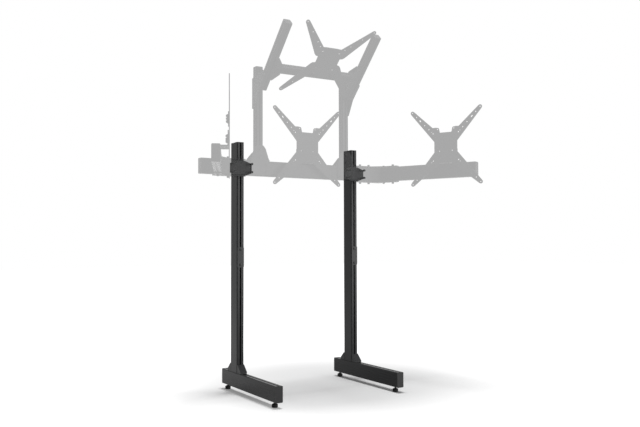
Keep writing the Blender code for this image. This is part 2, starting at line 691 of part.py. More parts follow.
def buildCrossbarCorners(material):
    # Brackets in the corners between the crossbar and the leaning arm, above and below the bar
    along, front = leanAxes()
    inside = UPRIGHT_X - PROFILE_W / 2
    corners = []
    for where, side in (("lower", -1), ("upper", 1)):
        width = front * side
        start = leanPoint(inside - FIT, CROSSBAR_S + side * (PROFILE_W / 2 + FIT), -side * CORNER_W / 2)
        place = frameOf(start, (-1, 0, 0), along * side, width)
        corner = cornerBracket("crossbar_corner_" + where + "_right", place, material)
        onBar = leanPoint(inside - CORNER_LEG / 2, CROSSBAR_S + side * PROFILE_W / 2, 0.0)
        onArm = leanPoint(inside, CROSSBAR_S + side * (PROFILE_W + CORNER_HEIGHT) / 2, 0.0)
        drill(corner, [(onBar, along * side, CORNER_T + 2 * FIT), (onArm, (-1, 0, 0), CORNER_T + 2 * FIT)])
        moveOrigin(corner, leanPoint(0.0, CROSSBAR_S, 0.0))
        corners.append(corner)
    return corners


def tipArc(before, after, centre):
    # Rounded end of a plate arm, between the tangents from the two points at its root
    angles = []
    for root, side in ((before, 1), (after, -1)):
        dx, dy = root[0] - centre[0], root[1] - centre[1]
        spread = pi / 2 - atan2(VESA_TIP_R, sqrt(dx * dx + dy * dy - VESA_TIP_R * VESA_TIP_R))
        angles.append(atan2(dy, dx) + side * spread)
    start, end = angles
    if end < start:
        end += 2 * pi
    return arc(centre, VESA_TIP_R, start, end, 4)


def vesaOutline():
    # X-shaped plate with two ears, anticlockwise up its right half and down its left
    low, high = (VESA_WAIST, -VESA_WAIST_RISE), (VESA_WAIST, VESA_WAIST_RISE)
    bottom = (VESA_BOTTOM, -VESA_RISE - FIT)
    right = [bottom] + tipArc(bottom, low, (VESA_REACH, -VESA_REACH)) + [low, high]
    right += tipArc(high, VESA_ROOT, (VESA_REACH, VESA_REACH)) + [VESA_ROOT, *VESA_EAR]
    return right + [(-x, y) for x, y in reversed(right)]


def overheadOutline():
    # X-shaped plate of four like arms, its waist set back between small shoulders
    edgeX, edgeY = OVERHEAD_EDGE
    shoulderX, shoulderY = OVERHEAD_WAIST[0]
    right = tipArc((edgeX, -edgeY), (shoulderX, -shoulderY), (VESA_REACH, -VESA_REACH))
    right = [(edgeX, -edgeY)] + right + [(x, -y) for x, y in OVERHEAD_WAIST]
    right += list(reversed(OVERHEAD_WAIST))
    right += tipArc((shoulderX, shoulderY), (edgeX, edgeY), (VESA_REACH, VESA_REACH)) + [(edgeX, edgeY)]
    return right + [(-x, y) for x, y in reversed(right)]


def onDiagonals(reach):
    return [(sideX * reach, sideY * reach) for sideX in (-1, 1) for sideY in (-1, 1)]


def bothSides(places):
    return [(side * x, -drop) for side in (-1, 1) for x, drop in places]


def vesaHoles():
    # Hole rows along the arms, each measured in from the hole in the arm's tip
    holes = [circle(spot, VESA_HOLE_R) for step in VESA_HOLES_IN for spot in onDiagonals(VESA_REACH - step)]
    holes += [circle(spot, VESA_SMALL_R) for spot in onDiagonals(VESA_REACH - VESA_SMALL_IN)]
    for x, y in onDiagonals(VESA_REACH - VESA_SLOT_IN):
        holes.append(straightSlot((x, y), pi / 4 if x * y > 0 else -pi / 4, VESA_HOLE_R, VESA_HOLE_R))
    holes += [circle((side * VESA_EAR_HOLE[0], VESA_EAR_HOLE[1]), VESA_HOLE_R) for side in (-1, 1)]
    return holes + [circle(spot, HOLE_R) for spot in bothSides(CARRIAGE_HOLES)]


def overheadHoles():
    reaches = [VESA_REACH - step for step in OVERHEAD_HOLES_IN] + list(OVERHEAD_HOLES)
    holes = [circle(spot, VESA_HOLE_R) for reach in reaches for spot in onDiagonals(reach)]
    return holes + [circle(spot, HOLE_R) for spot in bothSides(OVERHEAD_CARRIAGE_HOLES)]


def vesaPlate(name, loops, place, material):
    # Local X across, Y up the plate, Z towards the monitor; a stiffener stands on its back
    plate = extrude(name, loops, VESA_T, material, Matrix.Identity(4))
    middle = (STIFFENER_HIGH + STIFFENER_LOW) / 2
    tall = (STIFFENER_HIGH - STIFFENER_LOW) / 2
    bar = extrude("bar", [roundedBar(STIFFENER_HALF, tall, CORNER_R)], STIFFENER_T + VESA_T / 2, material,
                  Matrix.Translation((0.0, middle, -STIFFENER_T)))
    combine(plate, bar, "UNION")
    plate.data.transform(place)
    return plate


def carriage(name, place, rise, offset, half, legHoles, flangeX, material):
    # Angle that carries a plate: a leg behind it and a flange hooked back over the profile
    t, bend = CARRIAGE_T, CARRIAGE_BEND
    foot = -rise + FIT
    reach = offset + PROFILE_W - CARRIAGE_SHORT
    outline = [(-FIT, foot), (-FIT, -CARRIAGE_TOP), (-FIT - t, -CARRIAGE_TOP), (-FIT - t, foot + t + bend),
               (-FIT - t - bend, foot + t), (-reach, foot + t), (-reach, foot)]
    turn = frameOf((-half, 0, 0), (0, 0, 1), (0, 1, 0), (1, 0, 0))
    piece = extrude(name, [outline], 2 * half, material, turn)
    holes = [((x, y, -t - 2 * FIT), (0, 0, 1), t + 2 * FIT) for x, y in bothSides(legHoles)]
    slotLine = -offset - PROFILE_W / 2
    holes += [((side * flangeX, -rise, slotLine), (0, 1, 0), t + 2 * FIT) for side in (-1, 1)]
    drill(piece, holes)
    piece.data.transform(place)
    return piece


def monitorMount(where, place, origin, material):
    pieces = [vesaPlate("vesa_plate_" + where, [vesaOutline()] + vesaHoles(), place, material),
              carriage("carriage_" + where, place, VESA_RISE, VESA_OFFSET, CARRIAGE_HALF, CARRIAGE_HOLES,
                       FLANGE_BOLT_X, material)]
    for piece in pieces:
        moveOrigin(piece, origin)
    return pieces


def buildArmMount(material):
    along, outer = armAxes()
    spot = armPoint(ARM_VESA_S, -VESA_OFFSET, BEAM_TOP + VESA_RISE)
    place = frameOf(spot, along, (0, 0, 1), -outer)
    origin = armPoint(ARM_VESA_S, PROFILE_W / 2, BEAM_Z)
    return monitorMount("right", place, origin, material)


def buildCentreMount(material):
    spot = (0.0, BEAM_FRONT - VESA_OFFSET, BEAM_TOP + VESA_RISE)
    place = frameOf(spot, (1, 0, 0), (0, 0, 1), (0, -1, 0))
    monitorMount("centre", place, (0.0, BEAM_Y, BEAM_Z), material)


def buildOverheadMount(material):
    along, front = leanAxes()
    spot = leanPoint(0.0, OVERHEAD_S, PROFILE_W / 2 + OVERHEAD_OFFSET)
    place = frameOf(spot, (1, 0, 0), along, front)
    plate = vesaPlate("vesa_plate_overhead", [overheadOutline()] + overheadHoles(), place, material)
    angle = carriage("carriage_overhead", place, OVERHEAD_RISE, OVERHEAD_OFFSET, OVERHEAD_CARRIAGE_HALF,
                     OVERHEAD_CARRIAGE_HOLES, OVERHEAD_FLANGE_BOLT_X, material)
    for piece in (plate, angle):
        moveOrigin(piece, leanPoint(0.0, CROSSBAR_S, 0.0))


def centreDepth():
    # Puts the middle of the stand's whole depth on the origin
    depths = []
    for piece in bpy.context.scene.objects:
        depths += [vert.co.y + piece.location.y for vert in piece.data.vertices]
    middle = (min(depths) + max(depths)) / 2
    for piece in bpy.context.scene.objects:
        piece.location.y -= middle


def build():
    clearScene()
    black = paint("black_satin", BLACK_SATIN)
    cover = paint("black_cover", BLACK_COVER)
    grey = paint("pale_grey", PALE_GREY)
    steel = paint("bolt_steel", BOLT_STEEL)
    pairs = buildFoot(black, cover) + buildPost(black, cover) + buildPads(cover)
    pairs += buildLegBrackets(black) + [buildSplicePlate(black), buildBeamBracket(black)]
    pairs += [buildSideArm(grey), buildArmPivotBolt(steel), buildUpright(grey), buildFacePlate(grey)]
    pairs += [buildLeaningArm(grey), buildTiltPlate(grey), buildTiltPivotBolt(steel)]
    pairs += buildHingePlates(grey) + buildUprightCorners(grey) + buildCrossbarCorners(grey)
    pairs += buildArmMount(grey)
    for piece in pairs:
        mirrored(piece)
    buildBeam(grey)
    buildCrossbar(grey)
    buildCentreMount(grey)
    buildOverheadMount(grey)
    centreDepth()


build()
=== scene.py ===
import bpy
import bmesh
from math import cos, radians, sin
from mathutils import Matrix, Vector


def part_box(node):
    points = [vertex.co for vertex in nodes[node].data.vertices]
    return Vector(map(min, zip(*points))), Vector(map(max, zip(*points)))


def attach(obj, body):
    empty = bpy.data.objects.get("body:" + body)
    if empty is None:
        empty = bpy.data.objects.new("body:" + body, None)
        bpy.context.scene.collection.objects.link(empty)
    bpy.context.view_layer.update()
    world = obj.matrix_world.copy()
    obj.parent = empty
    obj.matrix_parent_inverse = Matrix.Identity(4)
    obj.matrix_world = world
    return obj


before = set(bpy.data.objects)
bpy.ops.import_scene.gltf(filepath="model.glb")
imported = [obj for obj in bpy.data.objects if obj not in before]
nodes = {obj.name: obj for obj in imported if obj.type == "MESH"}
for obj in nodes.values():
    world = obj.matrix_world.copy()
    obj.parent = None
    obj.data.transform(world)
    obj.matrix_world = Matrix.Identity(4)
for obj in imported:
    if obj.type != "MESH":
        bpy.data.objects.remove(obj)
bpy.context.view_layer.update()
print("frame loaded:", len(nodes), "nodes")


# Camera
cameraSetup = {
    "place": (-2.072, -3.3887, 0.7923),
    "yaw": 31.2512,       # degrees, to the right of +Y
    "pitch": 2.1553,
    "roll": -0.1533,
    "lens": 42.554,
    "sensor": 36.0,
}


def makeCamera(setup):
    yaw, pitch, roll = (radians(setup[key]) for key in ("yaw", "pitch", "roll"))
    forward = Vector((sin(yaw) * cos(pitch), cos(yaw) * cos(pitch), sin(pitch)))
    level = Vector((cos(yaw), -sin(yaw), 0.0))
    above = level.cross(forward)
    right = level * cos(roll) + above * sin(roll)
    up = above * cos(roll) - level * sin(roll)
    camera = bpy.data.objects.new("camera", bpy.data.cameras.new("camera"))
    bpy.context.scene.collection.objects.link(camera)
    camera.data.sensor_width = setup["sensor"]
    camera.data.lens = setup["lens"]
    rows = [[right[i], up[i], -forward[i], setup["place"][i]] for i in range(3)]
    camera.matrix_world = Matrix(rows + [[0.0, 0.0, 0.0, 1.0]])
    bpy.context.scene.camera = camera


makeCamera(cameraSetup)
print("camera set")


# Shader nodes
def addNode(tree, kind, inputs=(), **settings):
    # An input is given as a value, or as the output that feeds it
    node = tree.nodes.new(kind)
    for key, value in settings.items():
        setattr(node, key, value)
    for key, value in dict(inputs).items():
        if isinstance(value, bpy.types.NodeSocket):
            tree.links.new(value, node.inputs[key])
        else:
            node.inputs[key].default_value = value
    return node


def addMath(tree, operation, first, second):
    return addNode(tree, "ShaderNodeMath", {0: first, 1: second}, operation=operation).outputs[0]


def addRange(tree, value, fromLimits, toLimits=(0.0, 1.0)):
    inputs = {"Value": value, "From Min": fromLimits[0], "From Max": fromLimits[1],
              "To Min": toLimits[0], "To Max": toLimits[1]}
    return addNode(tree, "ShaderNodeMapRange", inputs).outputs["Result"]


def addRamp(tree, value, stops, interpolation="LINEAR"):
    # Colour ramp with a stop for each (position, colour)
    node = addNode(tree, "ShaderNodeValToRGB", {"Fac": value})
    ramp = node.color_ramp
    ramp.interpolation = interpolation
    while len(ramp.elements) < len(stops):
        ramp.elements.new(0.5)      # moved to its position below
    for element, (position, colour) in zip(ramp.elements, stops):
        element.position = position
        element.color = (*colour, 1.0)
    return node.outputs["Color"]


# Stage
stageSetup = {
    "floorSize": 40.0,
    "floorColour": (0.80, 0.80, 0.80),
    "floorShadeMiddle": (0.25, 0.25, 0.0),
    "floorBackdropAndShadeRamp": ((0.50, 0.05), (0.82, 0.34), (1.2, 0.60), (2.2, 1.0)),     # distance, light added; the little light added near the stand leaves a painted shade patch there
    "ambience": 0.22,
    "ambienceColour": (0.99, 0.993, 1.0),
}


def whiteShare(tree):
    # 1 for camera, glossy and transmission rays, 0 for the rest
    path = addNode(tree, "ShaderNodeLightPath")
    seen = addMath(tree, "MAXIMUM", path.outputs["Is Camera Ray"], path.outputs["Is Glossy Ray"])
    return addMath(tree, "MAXIMUM", seen, path.outputs["Is Transmission Ray"])


def makeFloor(setup):
    bpy.ops.mesh.primitive_plane_add(size=setup["floorSize"], location=(0.0, 0.0, 0.0))
    floor = bpy.context.object
    floor.name = "studioFloor"
    material = bpy.data.materials.new("studioFloor")
    material.use_nodes = True
    tree = material.node_tree
    tree.nodes.clear()
    diffuse = addNode(tree, "ShaderNodeBsdfDiffuse", {"Color": (*setup["floorColour"], 1.0)})

    # away from the stand the floor turns into the white backdrop, and near it the camera sees less added
    # light: a painted shade patch around the stand
    place = addNode(tree, "ShaderNodeTexCoord")
    apart = addNode(tree, "ShaderNodeVectorMath", {0: place.outputs["Object"], 1: setup["floorShadeMiddle"]},
                    operation="DISTANCE")
    reach = setup["floorBackdropAndShadeRamp"][-1][0]
    share = addMath(tree, "DIVIDE", apart.outputs["Value"], reach)
    stops = [(distance / reach, (level, level, level)) for distance, level in setup["floorBackdropAndShadeRamp"]]
    glow = addNode(tree, "ShaderNodeEmission", {"Color": addRamp(tree, share, stops, "B_SPLINE"),
                                                "Strength": whiteShare(tree)})
    both = addNode(tree, "ShaderNodeAddShader", {0: diffuse.outputs[0], 1: glow.outputs[0]})
    addNode(tree, "ShaderNodeOutputMaterial", {"Surface": both.outputs[0]})
    floor.data.materials.append(material)
    return floor


def makeWorld(setup):
    world = bpy.data.worlds.new("studio")
    bpy.context.scene.world = world
    world.use_nodes = True
    tree = world.node_tree
    tree.nodes.clear()
    soft = addNode(tree, "ShaderNodeBackground", {"Color": (*setup["ambienceColour"], 1.0),
                                                  "Strength": setup["ambience"]})
    white = addNode(tree, "ShaderNodeBackground", {"Color": (1.0, 1.0, 1.0, 1.0), "Strength": 1.0})
    mix = addNode(tree, "ShaderNodeMixShader",
                  {0: whiteShare(tree), 1: soft.outputs[0], 2: white.outputs[0]})
    addNode(tree, "ShaderNodeOutputWorld", {"Surface": mix.outputs[0]})


studioFloor = makeFloor(stageSetup)
makeWorld(stageSetup)

lampSetup = {
    "overhead": {
        "place": (0.1, 0.1, 4.2),
        "aim": (0.1, 0.1, 0.0),
        "size": (1.0, 1.0),
        "power": 135.0,
        "inGloss": False,       # whether it shows in reflections
    },
    "sideSoftbox": {
        "place": (2.3, -3.7, 1.2),
        "aim": (-0.1, 0.2, 0.8),
        "size": (3.6, 2.4),
        "power": 190.0,
        "inGloss": True,
    },
}


def makeLamp(name, setup):
    light = bpy.data.lights.new(name, "AREA")
    light.shape = "RECTANGLE"
    light.size, light.size_y = setup["size"]
    light.energy = setup["power"]
    lamp = bpy.data.objects.new(name, light)
    lamp.visible_camera = False
    lamp.visible_glossy = setup["inGloss"]
    bpy.context.scene.collection.objects.link(lamp)
    lamp.location = setup["place"]
    aim = Vector(setup["aim"]) - Vector(setup["place"])
    lamp.rotation_euler = aim.to_track_quat("-Z", "Y").to_euler()
    return lamp


lamps = {name: makeLamp(name, values) for name, values in lampSetup.items()}

# the softbox from the side leaves the floor alone, so that the floor's shadows come from above
unlit = bpy.data.collections.new("unlitBySide")
unlit.objects.link(studioFloor)
lamps["sideSoftbox"].light_linking.receiver_collection = unlit
unlit.collection_objects[0].light_linking.link_state = "EXCLUDE"
bpy.context.scene.view_settings.view_transform = "Standard"
print("stage, world and lamps set")


# Finishes: black coats for the legs, and the same coats thinned for the pale frame above them
# The lighter edge colour is partly wear and partly a painted edge highlight, strongest on the plates
finishes = {
    "profile": {"colour": (0.0160, 0.0163, 0.0170), "roughness": 0.28, "specular": 0.11, "grain": 0.015,
                "lines": 0.03, "edge": (0.045, 0.045, 0.047), "edgeWearAndHighlight": 0.5},
    "plate": {"colour": (0.0180, 0.0183, 0.0190), "roughness": 0.38, "specular": 0.16, "grain": 0.04,
              "lines": 0.0, "edge": (0.110, 0.110, 0.112), "edgeWearAndHighlight": 0.8},
    "cover": {"colour": (0.0170, 0.0170, 0.0175), "roughness": 0.50, "specular": 0.18, "grain": 0.08,
              "lines": 0.0, "edge": (0.035, 0.035, 0.036), "edgeWearAndHighlight": 0.3},
    "rubber": {"colour": (0.0130, 0.0130, 0.0130), "roughness": 0.80, "specular": 0.15, "grain": 0.30,
               "lines": 0.0, "edge": (0.030, 0.030, 0.030), "edgeWearAndHighlight": 0.3},
    "bolt": {"colour": (0.0095, 0.0095, 0.0100), "roughness": 0.40, "specular": 0.30, "grain": 0.03,
             "lines": 0.0, "edge": (0.060, 0.060, 0.063), "edgeWearAndHighlight": 0.6},
}
pale = {
    "cover": 0.62,              # how much of what lies behind the pale frame its coat hides
    "dull": 0.08,               # added to the roughness of the pale frame
    "firstDepth": 0.5,          # a ray that has passed fewer see-through surfaces is at its first one
    "layers": 64,               # see-through surfaces that a ray passes without stopping on the way
}
clouds = {
    "scale": 9.0,
    "detail": 4.0,
    "softness": 0.6,
    "stops": ((0.30, 0.90), (0.72, 1.10)),      # noise value, share of the body colour
}
edgeWearAndHighlight = {
    "radius": 0.0009,           # metres of edge that wear and carry a painted highlight
    "samples": 4,
    "rim": (0.995, 0.86),       # cosine between rounded and true normal, where wear and painted highlight begin and are full
    "scale": 60.0,
    "detail": 5.0,
    "patch": (0.42, 0.66),      # noise values between which a patch grows to full wear and painted highlight
}
relief = {
    "height": 0.0002,           # metres
    "lineStretch": (900.0, 900.0, 6.0),
    "plainStretch": (500.0, 500.0, 500.0),
    "lineDetail": 2.0,
    "grainScale": 950.0,
    "grainDetail": 3.0,
}
sheen = {"noise": (0.3, 0.7), "spread": (-0.05, 0.06)}      # noise values, what they add to the roughness


def makeColour(tree, look, spot, wearAndHighlightMask):
    # Cloudy body colour, lighter where the edges are worn and given a painted highlight
    cloud = addNode(tree, "ShaderNodeTexNoise", {"Vector": spot, "Scale": clouds["scale"],
                                                 "Detail": clouds["detail"],
                                                 "Roughness": clouds["softness"]})
    stops = [(position, [part * share for part in look["colour"]]) for position, share in clouds["stops"]]
    body = addRamp(tree, cloud.outputs["Fac"], stops)
    blend = addNode(tree, "ShaderNodeMix", {"Factor": wearAndHighlightMask}, data_type="RGBA")
    plain, edge = [socket for socket in blend.inputs if socket.type == "RGBA"]
    tree.links.new(body, plain)
    edge.default_value = (*look["edge"], 1.0)
    return cloud.outputs["Fac"], next(socket for socket in blend.outputs if socket.type == "RGBA")


def makeEdgeWearAndHighlight(tree, look, spot):
    # Patches of wear and painted edge highlight along the edges, from the difference between the rounded
    # and the true normal
    rounded = addNode(tree, "ShaderNodeBevel", {"Radius": edgeWearAndHighlight["radius"]}, samples=edgeWearAndHighlight["samples"])
    geometry = addNode(tree, "ShaderNodeNewGeometry")
    alike = addNode(tree, "ShaderNodeVectorMath",
                    {0: rounded.outputs["Normal"], 1: geometry.outputs["Normal"]}, operation="DOT_PRODUCT")
    rim = addRange(tree, alike.outputs["Value"], edgeWearAndHighlight["rim"])
    noise = addNode(tree, "ShaderNodeTexNoise",
                    {"Vector": spot, "Scale": edgeWearAndHighlight["scale"], "Detail": edgeWearAndHighlight["detail"]})
    patch = addRange(tree, noise.outputs["Fac"], edgeWearAndHighlight["patch"], (0.0, look["edgeWearAndHighlight"]))
    return addMath(tree, "MULTIPLY", rim, patch)


def makeBump(tree, look, spot, lined):
    # Fine grain over the die lines, which run along local Z
    stretch = addNode(tree, "ShaderNodeMapping",
                      {"Vector": spot, "Scale": relief["lineStretch" if lined else "plainStretch"]})
    lines = addNode(tree, "ShaderNodeTexNoise",
                    {"Vector": stretch.outputs["Vector"], "Scale": 1.0, "Detail": relief["lineDetail"]})
    grain = addNode(tree, "ShaderNodeTexNoise",
                    {"Vector": spot, "Scale": relief["grainScale"], "Detail": relief["grainDetail"]})
    lineBump = addNode(tree, "ShaderNodeBump", {"Strength": look["lines"], "Distance": relief["height"],
                                                "Height": lines.outputs["Fac"]})
    grainBump = addNode(tree, "ShaderNodeBump", {"Strength": look["grain"], "Distance": relief["height"],
                                                 "Height": grain.outputs["Fac"],
                                                 "Normal": lineBump.outputs["Normal"]})
    return lines.outputs["Fac"], grainBump.outputs["Normal"]


def thinCoat(tree, shader):
    # See-through coat: the first surface that a ray meets is tinted, and those behind it are clear
    path = addNode(tree, "ShaderNodeLightPath")
    first = addMath(tree, "LESS_THAN", path.outputs["Transparent Depth"], pale["firstDepth"])
    share = addMath(tree, "MULTIPLY", first, pale["cover"])
    clear = addNode(tree, "ShaderNodeBsdfTransparent")
    mix = addNode(tree, "ShaderNodeMixShader", {0: share, 1: clear.outputs[0], 2: shader.outputs[0]})
    tree.links.new(mix.outputs[0], tree.nodes["Material Output"].inputs["Surface"])


def makeFinish(name, look, turn, seeThrough):
    material = bpy.data.materials.new(name)
    material.use_nodes = True
    tree = material.node_tree
    shader = tree.nodes["Principled BSDF"]
    shader.inputs["Specular IOR Level"].default_value = look["specular"]
    place = addNode(tree, "ShaderNodeTexCoord")
    mapping = addNode(tree, "ShaderNodeMapping", {"Vector": place.outputs["Object"], "Rotation": turn},
                      vector_type="TEXTURE")
    spot = mapping.outputs["Vector"]
    cloud, colour = makeColour(tree, look, spot, makeEdgeWearAndHighlight(tree, look, spot))
    lined = look["lines"] > 0.0
    lines, normal = makeBump(tree, look, spot, lined)
    roughness = look["roughness"] + (pale["dull"] if seeThrough else 0.0)
    limits = [roughness + change for change in sheen["spread"]]
    rough = addRange(tree, lines if lined else cloud, sheen["noise"], limits)
    for key, source in (("Base Color", colour), ("Normal", normal), ("Roughness", rough)):
        tree.links.new(source, shader.inputs[key])
    if seeThrough:
        thinCoat(tree, shader)
    return material


armAngle = radians(24.5)        # side arms, away from the -Y direction in plan
leanAngle = radians(45.0)       # leaning arms, away from upright
turns = {                       # rotations that carry local Z onto the length of each profile
    "upright": (0.0, 0.0, 0.0),
    "across": (0.0, radians(90.0), 0.0),
    "depth": (radians(90.0), 0.0, 0.0),
    "leaning": (leanAngle, 0.0, 0.0),
    "armRight": (radians(90.0), 0.0, armAngle),
    "armLeft": (radians(90.0), 0.0, -armAngle),
}
coatSetup = {                   # finish, turn, whether it is see-through
    "blackPosts": ("profile", "upright", False),
    "blackFeet": ("profile", "depth", False),
    "blackPlates": ("plate", "upright", False),
    "blackCovers": ("cover", "upright", False),
    "padRubber": ("rubber", "upright", False),
    "blackBolts": ("bolt", "upright", False),
    "paleBeam": ("profile", "across", True),
    "paleUprights": ("profile", "upright", True),
    "paleLeaning": ("profile", "leaning", True),
    "paleArmRight": ("profile", "armRight", True),
    "paleArmLeft": ("profile", "armLeft", True),
    "palePlates": ("plate", "upright", True),
    "paleBolts": ("bolt", "upright", True),
}
coats = {name: makeFinish(name, finishes[finish], turns[turn], seeThrough)
         for name, (finish, turn, seeThrough) in coatSetup.items()}

coatOf = (                      # the first of these beginnings that a node's name has gives its coat
    ("foot_cap", "blackCovers"), ("post_cap", "blackCovers"), ("levelling_foot", "padRubber"),
    ("foot_", "blackFeet"), ("lower_post", "blackPosts"), ("upper_post", "blackPosts"),
    ("base_bracket", "blackPlates"), ("splice_plate", "blackPlates"), ("beam_bracket", "blackPlates"),
    ("main_beam", "paleBeam"), ("crossbar_corner", "palePlates"), ("crossbar", "paleBeam"),
    ("side_arm_left", "paleArmLeft"), ("side_arm_right", "paleArmRight"), ("leaning_arm", "paleLeaning"),
    ("upright_corner", "palePlates"), ("upright_", "paleUprights"), ("hinge_plate", "palePlates"),
    ("face_plate", "palePlates"), ("tilt_plate", "palePlates"), ("vesa_plate", "palePlates"),
    ("carriage", "palePlates"), ("arm_pivot_bolt", "paleBolts"), ("tilt_pivot_bolt", "paleBolts"),
)
for nodeName, node in nodes.items():
    coatName = next(value for key, value in coatOf if nodeName.startswith(key))
    node.data.materials[0] = coats[coatName]

bpy.context.scene.cycles.transparent_max_bounces = pale["layers"]
bpy.context.scene.cycles.min_transparent_bounces = pale["layers"]
print("finishes made:", len(coats))


# Small parts, modelled once
hexagon = 6
topFacing = 0.9                 # a face whose normal has more z than this belongs to the top


def selectOnly(*pieces):
    # Selects these pieces and makes the first one active
    for item in bpy.context.selected_objects:
        item.select_set(False)
    for item in pieces:
        item.select_set(True)
    bpy.context.view_layer.objects.active = pieces[0] if pieces else None


def addCylinder(sides, radius, depth, height):
    # Upright cylinder with its middle at this height
    bpy.ops.mesh.primitive_cylinder_add(vertices=sides, radius=radius, depth=depth,
                                        location=(0.0, 0.0, height))
    return bpy.context.object


def editTop(piece):
    # Enters edit mode with just the top face selected
    bpy.ops.object.mode_set(mode="EDIT")
    bpy.ops.mesh.select_mode(type="FACE")
    bpy.ops.mesh.select_all(action="DESELECT")
    bm = bmesh.from_edit_mesh(piece.data)
    for face in bm.faces:
        face.select_set(face.normal.z > topFacing)
    bmesh.update_edit_mesh(piece.data)


def insetTop(width, rise):
    bpy.ops.mesh.inset(thickness=width)
    bpy.ops.transform.translate(value=(0.0, 0.0, rise))


def extrudeTop(rise, grow=1.0):
    bpy.ops.mesh.extrude_region_move(TRANSFORM_OT_translate={"value": (0.0, 0.0, rise)})
    if grow != 1.0:
        bpy.ops.transform.resize(value=(grow, grow, 1.0))


def editDone(piece):
    # Leaves edit mode and moves the piece's place into its mesh
    bpy.ops.mesh.select_all(action="DESELECT")
    bpy.ops.object.mode_set(mode="OBJECT")
    selectOnly(piece)
    bpy.ops.object.transform_apply(location=True, rotation=True, scale=True)


def cutKeyHole(head, values, height):
    # Hexagon hole, as deep as its key, down from this height
    keyHole = addCylinder(hexagon, values["keyRadius"], values["keyDepth"] * 2, height)
    selectOnly(head)
    cut = head.modifiers.new("keyHole", "BOOLEAN")
    cut.object = keyHole
    cut.operation = "DIFFERENCE"
    bpy.ops.object.modifier_apply(modifier=cut.name)
    bpy.data.objects.remove(keyHole, do_unlink=True)


def joinPieces(pieces, name):
    selectOnly(*pieces)
    bpy.ops.object.join()
    whole = bpy.context.object
    whole.name = name
    whole.data.name = name
    return whole


screw = {
    "sides": 24,
    "headRadius": 0.0062,
    "headHeight": 0.0046,
    "crown": 0.0011,
    "crownSteps": 3,
    "keyRadius": 0.0029,
    "keyDepth": 0.0026,
    "washerRadius": 0.0078,
    "washerThickness": 0.0012,
    "washerRim": 0.0004,
    "washerRise": 0.00015,
}
tallScrew = dict(screw, headRadius=0.0066, headHeight=0.0082, crown=0.0008,
                 keyRadius=0.0033, keyDepth=0.0042)


def modelScrew(values):
    # Button-head screw with a hexagon key hole, standing on a washer at z 0
    under = values["washerThickness"]
    washer = addCylinder(values["sides"], values["washerRadius"], under, under / 2)
    editTop(washer)
    insetTop(values["washerRim"], values["washerRise"])
    editDone(washer)
    tall = values["headHeight"]
    head = addCylinder(values["sides"], values["headRadius"], tall, under + tall / 2)
    editTop(head)
    bpy.ops.mesh.bevel(offset=values["crown"], segments=values["crownSteps"], affect="EDGES")
    editDone(head)
    cutKeyHole(head, values, under + tall)
    return joinPieces([head, washer], "screwMaster")


nut = {
    "radius": 0.0060,
    "height": 0.0050,
    "crownWidth": 0.00096,
    "crownRise": 0.00036,
    "tipSides": 12,
    "tipRadius": 0.0030,
    "tipBase": 0.0010,          # plain length of the tip, under the thread
    "tipLength": 0.0032,        # length of the thread
    "thread": 0.0003,
    "turns": 3,
    "endWidth": 0.0005,
    "endRise": 0.0004,
}


def modelNut(values):
    # Hexagon nut at z 0 with the threaded end of its bolt standing out
    tall = values["height"]
    body = addCylinder(hexagon, values["radius"], tall, tall / 2)
    editTop(body)
    insetTop(values["crownWidth"], values["crownRise"])
    editDone(body)
    base = values["tipBase"]
    tip = addCylinder(values["tipSides"], values["tipRadius"], base, tall + base / 2)
    editTop(tip)
    step = values["tipLength"] / (2 * values["turns"])
    grow = (values["tipRadius"] + values["thread"]) / values["tipRadius"]
    for turnIndex in range(values["turns"]):
        extrudeTop(step, 1.0 / grow)
        extrudeTop(step, grow)
    insetTop(values["endWidth"], values["endRise"])
    editDone(tip)
    return joinPieces([body, tip], "nutMaster")


flush = {
    "sides": 16,
    "radius": 0.0040,
    "height": 0.0020,
    "rim": 0.0005,
    "rise": 0.0004,
    "keyRadius": 0.0021,
    "keyDepth": 0.0012,
    "keyTop": 0.0005,
}


def modelFlushScrew(values):
    # Low screw head that sits in a hole, with a hexagon key hole
    head = addCylinder(values["sides"], values["radius"], values["height"], -values["height"] / 2)
    editTop(head)
    insetTop(values["rim"], values["rise"])
    editDone(head)
    cutKeyHole(head, values, values["keyTop"])
    return joinPieces([head], "flushMaster")


beamBolt = {
    "sides": 16,
    "shankRadius": 0.0040,
    "reach": 0.0340,
    "shoulder": 0.0002,         # rise over which the shank widens into the nut
    "nutRadius": 0.0062,
    "nutLength": 0.0110,
    "endWidth": 0.0012,
    "endRise": 0.0006,
}


def modelBeamBolt(values):
    # Bolt that reaches into the hollow beam, with its nut near the far end
    bare = values["reach"] - values["nutLength"]
    bolt = addCylinder(values["sides"], values["shankRadius"], bare, bare / 2)
    editTop(bolt)
    extrudeTop(values["shoulder"], values["nutRadius"] / values["shankRadius"])
    extrudeTop(values["nutLength"])
    insetTop(values["endWidth"], values["endRise"])
    editDone(bolt)
    return joinPieces([bolt], "beamBoltMaster")


masters = {"screw": modelScrew(screw), "tallScrew": modelScrew(tallScrew), "nut": modelNut(nut),
           "flush": modelFlushScrew(flush), "beamBolt": modelBeamBolt(beamBolt)}
print("small parts modelled:", ", ".join(masters))

spinStep = 0.61                 # radians from one copy to the next, so that the key holes differ
smoothBelow = radians(35.0)     # edges flatter than this are shaded smooth
toUser = (0, -1, 0)
toBack = (0, 1, 0)
upward = (0, 0, 1)
downward = (0, 0, -1)


def facing(direction, points):
    return [(point, direction) for point in points]


